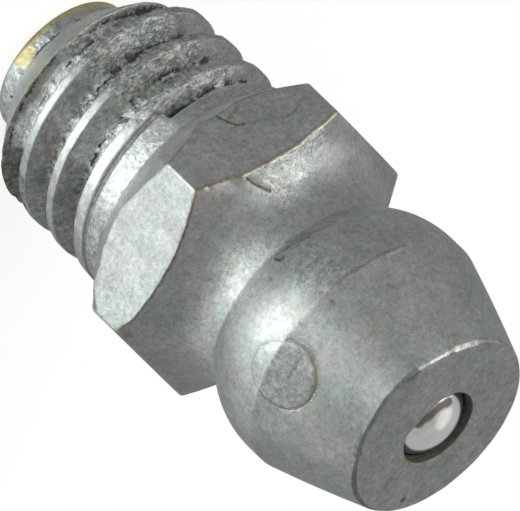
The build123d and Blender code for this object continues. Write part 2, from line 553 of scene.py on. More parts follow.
# crests
paint("dirt_and_shade", crest * (0.30 + 0.3 * n_mid) * top_side)
paint("dirt_and_shade", crest * (0.25 + 0.4 * n_coarse) * back_side)
paint("mottle", crest * (top_side + 0.6 * back_side) * calm, 0.45)
paint("streak", crest * (top_side + 0.6 * back_side) * calm, 0.65)
paint("warm", crest * top_side * window(vp, -80, -14, 8), 0.28)
band = th * full * top_side * window(vp, -60, -8, 8)
paint("dirt_and_shade", band * np.clip(1 - np.abs(q - 0.01) / 0.12, 0, 1) * (0.75 + 0.5 * n_streak), 0.42)
paint("bright", band * np.clip(1 - np.abs(q - 0.20) / 0.11, 0, 1) * (0.70 + 0.9 * n_streak), 0.55)
# painted highlights on the crests of the first turns, fading further round
for no, p1, p2, k in ((-1, 29, 38, 0.62), (0, 36, 60, 0.58), (1, 38, 66, 0.58)):
    on = crest * (crest_no == no)
    if no == -1:
        paint("dirt_and_shade", on * smooth(0.05, 0.08, a) * window(vp, -2, 60, 8), 0.35)
        on = on * (1 - smooth(0.055, 0.085, a))
    paint("bright", on * window(vp, 5, p1, 10), k)
    paint("bright", on * window(vp, p1, p2, 16), 0.35 * k)
paint("dirt_and_shade", crest * (crest_no == -1) * window(vp, 45, 90, 12), 0.22)
# roots: painted shade and dirt in them, paler streaks on the torn side
paint("coarse", root, 1.0)
paint("coarse", (flank + crest) * (top_side + 0.6 * back_side) * calm, 0.72)
paint("dirt_and_shade", root * (0.22 + 0.5 * n_mid) * (0.9 * top_side + 0.8 * back_side))
paint("bright", root * (0.18 + 0.5 * n_streak) * top_side, 0.8)
paint("mottle", root * (top_side + back_side) * calm, 0.8)
# painted highlight on the floor of the first groove
floor1 = th * smooth(1.2, 1.45, vz) * smooth(-0.02, 0.01, zq - floor_z) * (zq < 1.93) * window(vp, 0, 56, 4)
paint("bright", floor1 * (0.95 + 0.3 * n_mid), 1.0)
paint("mottle", floor1, 0.34)
paint("coarse", floor1, 0.8)
paint("dirt_and_shade", ribbon([(19, 1.60), (24.5, 1.60)], 0.08, 2.0), 0.75)
# floors of the next grooves: painted highlights on the near side, painted shade growing towards the far side
floor2 = full * window(zq, 2.50, 2.92, 0.02) * window(vp, -8, 96, 5)
paint("dirt_and_shade", floor2 * (0.30 + 0.35 * n_mid + 0.3 * smooth(24, 40, vp)))
paint("bright", floor2 * (0.40 + 0.9 * n_fine) * (1 - smooth(26, 40, vp)), 0.8)
paint("mottle", floor2, 1.0)
paint("bright", ribbon([(3, 2.66), (18, 2.62), (30, 2.60)], 0.045), 0.95)
floor3 = full * window(zq, 3.50, 3.92, 0.02) * window(vp, -8, 96, 5)
paint("dirt_and_shade", floor3 * (0.12 + 0.3 * n_mid + 0.6 * smooth(28, 38, vp)))
paint("bright", floor3 * (0.75 + 0.7 * n_fine) * (1 - smooth(26, 36, vp)), 0.95)
paint("mottle", floor3, 1.0)
# painted shade, with some grime, in thin seams and crevices where the next crest hides the root: (points, half width,
# strength)
broken = noise(V, 5.5, 31.0)
for points, half, k in (
    (((55, 1.37), (30, 1.375), (5, 1.37), (-6, 1.39)), 0.013, 0.62),
    (((7.5, 2.62), (2.5, 2.62)), 0.045, 0.95), (((17, 2.54), (9, 2.57)), 0.02, 0.7),
    (((0.5, 1.59), (-5, 1.61)), 0.035, 0.9), (((-7.5, 1.60), (-13, 1.58)), 0.03, 0.8), (((-12, 1.60), (-21, 1.60)), 0.04, 0.9),
    (((-21, 1.46), (-35, 1.46)), 0.026, 0.66), (((-35, 1.48), (-44, 1.50)), 0.020, 0.64),
    (((-44, 1.50), (-52, 1.52)), 0.033, 0.85), (((-53, 1.53), (-60, 1.51), (-68, 1.50)), 0.05, 1.0), (((-68, 1.50), (-80, 1.48)), 0.035, 0.95),
    (((-2, 2.59), (-14, 2.60)), 0.03, 0.75), (((-14, 2.58), (-22, 2.59), (-31, 2.59)), 0.095, 1.0),
    (((-30, 2.58), (-37, 2.55), (-45, 2.56)), 0.04, 0.95), (((-45, 2.57), (-60, 2.54)), 0.035, 0.9), (((-60, 2.52), (-74, 2.50)), 0.03, 0.8),
    (((3.5, 3.53), (-3, 3.54)), 0.026, 0.55), (((-9, 3.50), (-25, 3.50)), 0.03, 0.55), (((-25, 3.47), (-40, 3.49)), 0.035, 0.65),
    (((-40, 3.50), (-50, 3.52), (-58, 3.51)), 0.055, 0.95), (((-58, 3.50), (-70, 3.47)), 0.04, 0.9),
    (((29, 3.57), (21, 3.57)), 0.045, 0.95), (((19, 3.52), (12, 3.56)), 0.03, 0.7),
    (((48, 3.50), (36, 3.54)), 0.020, 0.50),
    (((-17, 4.475), (-26, 4.462), (-33, 4.45), (-50, 4.46)), 0.045, 0.9), (((-56, 4.45), (-66, 4.44)), 0.035, 1.0), (((-66, 4.44), (-77, 4.42)), 0.028, 0.85),
    (((100, 2.5), (140, 2.6), (180, 2.55)), 0.05, 0.7), (((-181, 3.5), (-140, 3.55), (-95, 3.5)), 0.05, 0.7),
    (((-181, 2.5), (-150, 2.6), (-110, 2.52)), 0.045, 0.8), (((110, 3.5), (150, 3.6), (175, 3.55)), 0.04, 0.6),
):
    # along the first turn this painted crevice shade is a row of separate black spots
    spots = points[0][0] <= -21 and points[0][1] < 1.56
    m_ = ribbon(points, 0.85 * half) * (np.clip(0.80 + 2.2 * broken, 0.08, 1.2) if spots else np.clip(1.06 + 0.8 * broken, 0.5, 1.2))
    paint("crevice_shade_and_grime", m_ * (0.75 + 0.25 * k), 1.0 if k > 0.7 else k / 0.8)
    paint("dirt_and_shade", np.clip(m_ * 2.2, 0, 1), 0.45 * k)
    move -= smooth(0.3, 1.0, m_) * 0.035
# bluish light patches beside them
for points, half, k in (
    (((-4, 1.66), (-19, 1.66)), 0.05, 0.7), (((14, 2.12), (-5, 2.13)), 0.05, 0.30), (((-5, 3.12), (-25, 3.12)), 0.07, 0.5),
    (((0, 4.16), (-20, 4.16)), 0.12, 0.6), (((-26, 3.28), (-52, 3.28)), 0.05, 0.7), (((-16, 2.34), (-32, 2.30), (-56, 2.27)), 0.085, 0.85),
    (((-16, 4.33), (-30, 4.365), (-40, 4.37), (-62, 4.34)), 0.12, 1.0), (((-75, 4.34), (-62, 4.34)), 0.10, 0.6), (((-18, 4.41), (-40, 4.43)), 0.05, 0.9),
    (((-56, 1.36), (-30, 1.38), (-6, 1.40)), 0.06, 0.55), (((-4, 3.62), (-26, 3.62)), 0.10, 0.7), (((-4, 2.50), (-16, 2.50)), 0.06, 0.6),
    (((-56, 1.22), (-30, 1.24), (-8, 1.25)), 0.09, 0.5),
):
    m_ = ribbon(points, half)
    paint("bright", np.clip(1.8 * m_, 0, 1) * (0.75 + 0.5 * n_streak), k)
# painted highlight along the edge of one crest, and brown beside it
paint("edge", ribbon(((-28, 3.277), (-50, 3.276)), 0.018, 1.5) * (0.75 + 0.6 * n_fine), 0.9)
paint("warm", ribbon(((-54, 3.27), (-68, 3.26)), 0.04), 0.6)
paint("warm", ribbon(((-20, 4.33), (-60, 4.33)), 0.08), 0.3)
paint("warm", np.clip(1.5 * ribbon(((2, 3.36), (-14, 3.38), (-30, 3.38)), 0.17), 0, 1) * (0.8 + 0.4 * n_mid), 0.55)
# the first turn, cut down by the lead chamfer: thin pale gold glints on its edge, brown beside them
paint("gold", ribbon(((2, 1.348), (23, 1.348)), 0.026, 1.0) * (1.15 + 0.8 * n_fine), 1.0)
paint("edge", ribbon(((1, 1.348), (24, 1.348)), 0.020, 1.0), 1.0)
paint("warm", ribbon(((-50, 1.34), (58, 1.34)), 0.05), 0.6)
lead_zone = th * (zq < 1.33) * (vz < 1.6) * (vr < 2.9)
paint("dirt_and_shade", lead_zone * (0.02 + 0.12 * n_mid + 0.10 * top_side), 0.5)
paint("bright", lead_zone * (0.80 + 0.2 * n_coarse) * window(vp, -110, 58, 10), 1.0)
# left end of the thread: dark and battered
batter = th * window(vp, 57, 92, 6) * window(vz, 1.2, 2.35, 0.15)
paint("dirt_and_shade", batter * (0.74 + 0.3 * n_mid), 0.95)
wipe("bright", batter * 0.9)
paint("mottle", batter, 0.6)
paint("coarse", batter, 1.0)
move -= batter * 0.06 * np.clip(noise(V, 3.1, 51.0), 0, 1)
lump = around(at(2.62, 1.70, 55.5), 0.17) * th
move += lump * 0.03
paint("bright", lump, 0.8)
paint("crevice_shade_and_grime", around(at(2.98, 2.27, 76.0), 0.12) * th * 0.9 + 0.8 * around(at(2.9, 2.36, 80.0), 0.12) * th, 1.0)

# pocket where the last groove stops, and the double line that runs on
t_p = np.clip((-15.0 - vp) / 36.0, 0, 1)
pocket_in = th * window(vp, -50, -16.0, 2) * (1 - smooth(0.10, 0.18, np.abs(vz - 4.50 + 0.12 * t_p)))
paint("dirt_and_shade", pocket_in * (0.25 + 0.4 * n_mid), 0.6)
paint("bright", pocket_in * (0.3 + 0.4 * n_fine), 0.6)
paint("mottle", pocket_in, 1.0)
paint("coarse", pocket_in, 1.0)
line_q = zq - 4.43
line_on = th * window(vp, -12, 104, 6)
paint("dirt_and_shade", line_on * (1 - smooth(0.010, 0.040, np.abs(line_q - 0.045 + 0.015 * n_mid))), 0.95)
paint("dirt_and_shade", line_on * (1 - smooth(0.010, 0.040, np.abs(line_q + 0.05 + 0.015 * n_mid))), 0.9)
paint("dirt_and_shade", line_on * (1 - smooth(0.06, 0.1, np.abs(line_q))), 0.40)
# painted highlights on the thread's shoulder and on the plain band above it, fading round the part; painted shade on
# the far side of the plain band
shoulder = th * window(zq, 4.03, 4.36, 0.03) * window(vp, -10, 90, 5)
paint("bright", shoulder * (0.82 - 0.5 * smooth(34, 70, vp)), 1.0)
plain = th * window(vp, -13.5, 110, 1.2) * smooth(4.50, 4.53, zq)
paint("bright", plain * (0.70 - 0.45 * smooth(22, 42, vp) - 0.2 * smooth(60, 90, vp)) * (0.85 + 0.55 * n_mid), 1.0)
paint("mottle", plain * smooth(20, 45, vp), 0.50)
paint("dirt_and_shade", plain * smooth(24, 44, vp) * (0.22 + 0.35 * n_fine), 0.8)
paint("mottle", plain * (1 - smooth(20, 45, vp)), 0.34)
paint("coarse", th * (vz > 4.4) * window(vp, -16, 110, 3), 0.42)
move += plain * smooth(22, 40, vp) * 0.012 * n_fine
lip_end = th * window(vp, -15.2, -12.0, 0.8) * window(vz, 4.46, 5.02, 0.03)
paint("bright", lip_end * (0.9 + 0.6 * n_fine), 1.0)
move += lip_end * 0.01
plain_top = th * smooth(4.55, 4.65, vz) * window(vp, -110, -17, 2)
paint("dirt_and_shade", plain_top * (0.16 + 0.3 * n_mid), 0.6)
paint("mottle", plain_top, 0.25)

# --- stud end: brass-coloured chromate on the rim with a painted glint, grey deposit, and a crevice under the lead chamfer painted black as shade
en = zone == END
spig = (en & (vr > 1.2)) | (th & (vz < 0.7))
gold_hot = spig * window(vp + 16 * (vz - 0.22) + 1.5 * n_fine, 9.5, 22.5, 1.2) * window(vz, 0.05, 0.40, 0.03)
paint("gold", gold_hot * 1.1, 1.0)
gold_rim = spig * window(vp, -100, 8, 5) * (1 - smooth(0.18, 0.26, vz + 0.035 * n_mid - 0.10 * smooth(-20, -60, vp)))
paint("gold", gold_rim, 0.95)
paint("bright", gold_rim * window(vp, -100, -8, 8), 0.75)
paint("gold", en * (vz < 0.02) * (0.45 + 0.5 * n_mid), 0.7)
# painted glint on the chromate patch
paint("edge", gold_hot * (0.35 + 0.35 * n_mid) * window(vz, 0.10, 0.33, 0.08), 1.0)
deposit = spig * window(vz, 0.17, 0.47, 0.05) * (window(vp, -17, 8, 3) + window(vp, 25, 72, 4))
paint("bright", deposit * (0.30 + 0.4 * n_fine), 0.8)
paint("coarse", deposit, 0.5)
paint("mottle", deposit, 0.5)
move += deposit * (0.008 + 0.02 * n_fine)
# crevice under the lead chamfer: cut in a little and painted black as shade
for p0, p1, w, k in ((-13, -3.5, 0.055, 1.0), (-4, 9.5, 0.05, 1.0), (-34, -29, 0.05, 0.9), (43, 47, 0.06, 0.8), (25.5, 27, 0.06, 0.6)):
    path = [at(1.86 + 0.012 * math.sin(p * 1.7), 0.475 + 0.02 * math.sin(p * 0.9), p) for p in np.linspace(p0, p1, 5)]
    m_ = along(path, w * 1.8)
    paint("crevice_shade_and_grime", m_, k)
    move -= m_ * 0.035
paint("dirt_and_shade", spig * (0.10 + 0.3 * n_mid), 0.5)

# --- hexagon
hx = zone == HEX
back_edge_z = HEX_BACK_Z0 + (hex_r - HEX_BACK_R0) + back_wave
front_edge_z = np.array([flare_from(R, 3)[0, 1] for R in hex_r]) + front_wave
to_front = np.hypot(vr - hex_r[column], vz - front_edge_z[column])
to_back = np.hypot(vr - hex_r[column], vz - back_edge_z[column])
on_flat = hx & (np.abs(vr - hex_r[column]) < 1e-4)
on_cone = hx & (vz < back_edge_z[column] - 0.01) & ~on_flat
on_flare = hx & (vz > front_edge_z[column] + 0.004) & ~on_flat
edge_wave = (1 - smooth(0.0, 0.12, to_front)) + (1 - smooth(0.0, 0.10, to_back))
move -= hx * edge_wave * (0.006 + 0.018 * np.clip(noise(V, 2.6, 61.0), -0.3, 1) + 0.012 * np.clip(noise(V, 6.5, 66.0), 0, 1))
move += hx * 0.0035 * n_mid
corner = np.abs((theta[column] - 90 + 30) % 60 - 30)
left_flat, top_flat = window(vp, 0.5, 58, 1.0), window(vp, -60, -1.6, 1.0)
# top flat: brownish grey, with a brown hair line all along its back edge
smear = on_flat * around((-1.85, -2.97, 5.86), 0.34)
paint("warm", smear * (0.7 + 0.6 * n_mid), 0.6)
paint("dirt_and_shade", smear * (0.35 + 0.5 * n_mid), 0.6)
paint("dirt_and_shade", on_flat * top_flat * (0.26 + 0.16 * n_coarse), 0.5)
paint("warm", on_flat * top_flat * (0.30 + 0.5 * n_coarse), 0.35)
hair = hx * np.clip(1 - to_back / 0.075, 0, 1)
paint("dirt_and_shade", hair * window(vp, -58, -2, 2) * (0.9 + 0.4 * n_mid), 0.8)
paint("warm", hair * window(vp, -58, -2, 2), 0.8)
paint("mottle", on_flat, 0.12)
# front edge: painted shadow line on the flat's side, a painted pale gold glint on the other, only a few painted glint
# dots near the corner
f_line = hx * np.clip(1 - to_front / 0.065, 0, 1)
paint("crevice_shade_and_grime", f_line * (on_flat | (to_front < 0.02)) * window(vp, -60, -14, 2) * (0.72 + 0.55 * n_fine), 0.80)
paint("dirt_and_shade", hx * on_flat * (1 - smooth(0.02, 0.09, to_front)) * window(vp, -62, -1, 2), 0.7)
paint("warm", hx * (1 - smooth(0.02, 0.10, to_front)) * window(vp, -60, 10, 2), 0.9)
paint("edge", hx * (~on_flat) * np.clip(1 - np.abs(to_front - 0.028) / 0.05, 0, 1) * window(vp, -60, -16.5, 1.5) * (0.85 + 0.8 * n_fine), 1.0)
paint("dirt_and_shade", hx * (1 - smooth(0.02, 0.07, to_front)) * window(vp, -16, 12, 2) * (0.7 + 0.6 * n_fine), 0.85)
for p, k in ((-7.4, 0.8), (-10.2, 0.5), (-12.2, 0.7)):
    paint("edge", around([*at(hex_r[np.argmin(np.abs(phi - p))], 0, p)[:2], front_edge_z[np.argmin(np.abs(phi - p))] + 0.01], 0.05), k)
# left flat's front edge: thin shadow line on the flare
paint("dirt_and_shade", hx * (~on_flat) * (1 - smooth(0.02, 0.09, to_front)) * window(vp, 4, 58, 3), 0.75)
paint("crevice_shade_and_grime", hx * (~on_flat) * np.clip(1 - to_front / 0.06, 0, 1) * window(vp, 14, 36, 3), 0.7)
# corner edge between the two flats: a painted highlight, narrow, pale, yellowish at its ends
paint("bright", hx * (1 - smooth(0.5, 1.3, corner)) * on_flat, 0.30)
paint("edge", hx * on_flat * (1 - smooth(0.4, 1.1, corner)) * (np.abs(vp) < 8) * (0.22 + 0.5 * (smooth(6.9, 7.15, vz) + 1 - smooth(6.1, 6.3, vz))), 0.5)
paint("bright", hx * (1 - smooth(0.02, 0.05, to_front)) * (1 - window(vp, -62, 60, 1)), 0.35)
# painted highlight, grainy and a little brown, on the flare in front of the top flat
lit = around(at(3.25, 7.60, -31), 0.95) + 0.9 * around(at(3.4, 7.47, -44), 0.8) + 0.6 * around(at(3.5, 7.4, -53), 0.5)
paint("bright", on_flare * np.clip(lit, 0, 1) * (0.55 + 0.5 * n_fine), 0.75)
paint("mottle", on_flare * np.clip(lit, 0, 1), 0.25)
paint("coarse", on_flare * np.clip(lit, 0, 1), 0.42)
move += on_flare * np.clip(lit, 0, 1) * (0.010 * n_fine + 0.008 * n_mid)
paint("warm", on_flare * np.clip(lit, 0, 1) * (0.3 + 0.8 * n_mid), 0.35)
gouge = along([(-0.99, -3.37, 7.45), (-1.0, -3.19, 7.55), (-1.08, -2.98, 7.70), (-1.16, -2.84, 7.82)], 0.05)
move -= gouge * 0.018
burr = around((-1.0, -3.41, 7.43), 0.09)
move += burr * 0.02
spark = around((-0.21, -3.88, 7.24), 0.09)
move += spark * 0.012
# painted glints on the nick and the burr of the front edge
paint("edge", spark * 1.2, 1.0)
paint("edge", burr * 1.2, 1.0)
move -= along([(-1.58, -3.16, 5.66), (-1.58, -3.13, 5.8), (-1.63, -3.10, 5.95), (-1.69, -3.07, 6.12), (-1.83, -2.98, 6.2)], 0.07) * 0.018
paint("warm", around(at(4.0, 7.15, 1.5), 0.16) + 0.9 * around(at(3.85, 7.2, 59.5), 0.22), 1.0)
paint("dirt_and_shade", around(at(3.95, 7.16, 3.0), 0.12) + 0.7 * around(at(3.85, 7.26, 61), 0.2), 0.7)
dent = on_flat * around((2.87, -2.38, 6.41), 0.10)
paint("dirt_and_shade", dent, 0.45)
move -= dent * 0.015

# --- neck and head
hd = zone == HEAD
waist_to_land = (hd | hx) & (vz > 8.9) & (vz < 10.92)
m_ = waist_to_land * window(vp + 5 * n_mid, -20, -3.0, 1.8) * window(vz, 9.05, 10.85, 0.15)
paint("dirt_and_shade", m_ * (0.26 + 0.3 * n_mid), 0.5)
paint("mottle", m_, 0.35)
paint("dirt_and_shade", waist_to_land * window(vp, -75, -15, 10) * 0.14, 0.2)
# painted highlight on the land, and below it a painted highlight on the neck
paint("bright", waist_to_land * window(vp + 2.5 * n_mid, -0.5, 26, 2.0) * smooth(10.0, 10.25, vz + 0.12 * n_mid), 0.36)
paint("bright", ((hx & (vz > 8.25)) | (hd & (vz < 9.1))) * window(vp + 4 * n_fine, -9, 32, 3) * window(vz, 8.4, 8.95, 0.04) * (0.35 + 0.35 * n_fine), 0.6)
paint("mottle", (hd & (vz < 9.6)) * window(vp, -14, 30, 4), 0.2)
paint("coarse", ((hx & (vz > 8.1)) | (hd & (vz < 9.2))), 0.24)
pit = around((-0.34, -3.16, 11.10), 0.09)
move -= pit * 0.012
dent2 = around((-0.21, -2.96, 9.30), 0.10)
move -= dent2 * 0.010
# ridge between the land and the cone
paint("mottle", hd * window(vz, 10.9, 11.4, 0.3) * window(vp, 2, 30, 8), 0.15)
# painted highlight in a short stretch under the ridge
under = hd * (1 - smooth(0.02, 0.06, np.abs(vz - 10.93)))
paint("bright", under * window(vp, -45, -37, 2), 0.7)
# ring mark on the ridge
c_ring, r_ring = np.array([1.53, -2.65, 11.24]), 0.80
d_ring = np.linalg.norm(V - c_ring, axis=1)
ring_line = hd * (1 - smooth(0.03, 0.10, np.abs(d_ring - r_ring)))
move -= ring_line * 0.014
dish = hd * (1 - smooth(0.35, 0.8, d_ring)) * (vz > 10.2)
move -= dish * 0.012
paint("dirt_and_shade", hd * (1 - smooth(0.68, 0.78, d_ring)) * (vz > 10.87) * (0.30 + 0.4 * n_mid), 0.5)
paint("mottle", hd * (1 - smooth(0.68, 0.78, d_ring)) * (vz > 10.87), 0.34)
paint("bright", hd * (vz > 13.46) * 0.38, 1.0)
wipe("bright", dish * 0.6 * (vz > 10.8))
# tip chamfer: painted shade on one side and painted highlights on the other, painted shade again where it turns away,
# and darker at the back
rim = hd & (vr > edge_r[column] - 0.012) & (vz > tip_z[column] - 0.012)
paint("dirt_and_shade", rim * window(vp, -13, 102, 5) * (0.80 + 0.2 * n_mid), 1.0)
paint("bright", rim * window(vp, -35, -15, 1.2) * (0.8 + 0.5 * n_fine), 0.9)
paint("bright", rim * window(vp, -54.5, -38.5, 1.5) * (0.75 + 0.5 * n_fine), 0.9)
paint("mottle", rim * window(vp, -56, -14, 1.5), 0.4)
paint("dirt_and_shade", rim * window(vp, -112, -57, 2) * (0.45 + 0.4 * n_mid), 0.8)
paint("dirt_and_shade", rim * (window(vp, 112, 180, 5) + window(vp, -181, -120, 5)) * (0.5 + 0.5 * n_mid), 0.7)
paint("dirt_and_shade", hd * window(vz, 13.18, 13.34, 0.04) * window(vp, -50, -42, 3), 0.35)
move -= rim * 0.010 * np.clip(noise(V, 3.3, 71.0), 0, 1)
# tip face: small pit near the edge and a brown smear above it
pit2 = around((1.69, 1.21, 13.5), 0.09)
move -= pit2 * 0.03
paint("warm", hd * around((1.25, 0.95, 13.5), 0.45) * (vz > 13.45), 0.45)
# port: wall painted dark, as painted shade over grease; the bore behind it painted dark as shade; brass-coloured lower
# lip with painted glints on it
wall = (vr < PORT_R + 0.012) & (vz > 12.9) & (vz < LENGTH - 0.025)
paint("crevice_shade_and_grime", wall, 0.72)
paint("mottle", wall, 0.6)
paint("crevice_shade_and_grime", (zone == INSIDE) & (vz > 12.5), 0.93)
lip = hd * (vz > 13.4) * (1 - smooth(0.03, 0.08, np.abs(vr - PORT_R - 0.045)))
paint("gold", lip * (window(vp, 78, 158, 8) + window(vp, -181, -166, 3)) * (1.0 + 0.8 * n_fine), 1.0)
paint("edge", lip * (window(vp, 104, 154, 5) + 0.9 * window(vp, -174, -166, 3)) * (0.65 + 0.9 * n_fine), 1.0)
paint("dirt_and_shade", hd * (vz > 13.46) * window(vr, 0.9, 1.2, 0.1) * window(vp, 150, 181, 8), 0.25)

# nothing may stand out past the outline of the part
inner = (zone == INSIDE)
move[inner] = 0
normal = area_normals(V, body_faces)
limit = np.where(hx & (edge_wave > 0.02), 0.0, 0.012)
limit = np.where(hd & ((vz > 13.3) | ((vz > 10.3) & (vz < 10.95))), 0.004, limit)
limit = np.where(np.abs(vz - LENGTH) < 0.02, 0.0, limit)
limit = np.where(th, 0.03, limit)
V = V + normal * np.minimum(move, limit)[:, None]
# the port's lip is peened inwards and a little up on one side
peen = (window(vp, -12, 14, 30) + 0.35 * window(vp, -47, -40, 14)) * smooth(13.28, 13.47, vz) * (1 - smooth(0.01, 0.34, vr - PORT_R)) * (vr > 0.9)
V[:, :2] *= 1 - (0.092 * peen * (0.9 + 0.5 * n_fine) / np.maximum(vr, 0.5))[:, None]
V[:, 2] += 0.040 * peen

body = make_mesh("body", V, body_faces, masks)


# ----------------------------------------------------------------------------------------------
# ball and spring
# ----------------------------------------------------------------------------------------------
def ball_mesh():
    """A lapped ball as a subdivided cube blown up to a sphere, so that it has no poles."""
    n = 28
    t = np.tan(np.linspace(-np.pi / 4, np.pi / 4, n + 1))
    pts, fs, seen = [], [], {}

    def vid(p):
        key = tuple(np.round(p, 6))
        if key not in seen:
            seen[key] = len(pts)
            pts.append(p / np.linalg.norm(p))
        return seen[key]

    for axis in range(3):
        for side in (-1, 1):
            u, v = (axis + 1) % 3, (axis + 2) % 3
            grid = np.empty((n + 1, n + 1), int)
            for i in range(n + 1):
                for j in range(n + 1):
                    p = np.zeros(3)
                    p[axis], p[u], p[v] = side, t[i], t[j]
                    grid[i, j] = vid(p)
            for i in range(n):
                for j in range(n):
                    q = (grid[i, j], grid[i + 1, j], grid[i + 1, j + 1], grid[i, j + 1])
                    fs.append(q if side > 0 else q[::-1])
    return np.array(pts) * BALL_R + np.array([0, 0, BALL_Z]), fs


bv, bf = ball_mesh()
ball = make_mesh("ball", bv, bf)


def spring_mesh():
    """Round wire wound as in the part: one closed turn, open turns, one closed turn."""
    total = SPRING_Z1 - SPRING_Z0
    open_pitch = (total - 2 * END_PITCH) / OPEN_COILS
    per_turn, around = 40, 14
    turns = OPEN_COILS + 2
    s = np.linspace(0, turns, turns * per_turn + 1)

    def height(x):
        a = np.minimum(x, 1) * END_PITCH
        b = np.clip(x - 1, 0, OPEN_COILS) * open_pitch
        c = np.clip(x - 1 - OPEN_COILS, 0, 1) * END_PITCH
        return SPRING_Z0 + a + b + c

    ang = 2 * np.pi * s
    c = np.stack([COIL_R * np.cos(ang), COIL_R * np.sin(ang), height(s)], 1)
    tangent = np.gradient(c, axis=0)
    tangent /= np.linalg.norm(tangent, axis=1, keepdims=True)
    radial = np.stack([np.cos(ang), np.sin(ang), 0 * ang], 1)
    side = np.cross(tangent, radial)
    pts, fs = [], []
    for i in range(len(s)):
        for k in range(around):
            a = 2 * np.pi * k / around
            pts.append(c[i] + WIRE_R * (radial[i] * np.cos(a) + side[i] * np.sin(a)))
    for i in range(len(s) - 1):
        for k in range(around):
            m = (k + 1) % around
            fs.append((i * around + k, i * around + m, (i + 1) * around + m, (i + 1) * around + k))
    for i, flip in ((0, True), (len(s) - 1, False)):
        base = len(pts)
        pts.append(c[i])
        for k in range(around):
            m = (k + 1) % around
            tri = (i * around + k, i * around + m, base)
            fs.append(tri[::-1] if flip else tri)
    return np.array(pts), fs


sv, sf = spring_mesh()
spring = make_mesh("spring", sv, sf)


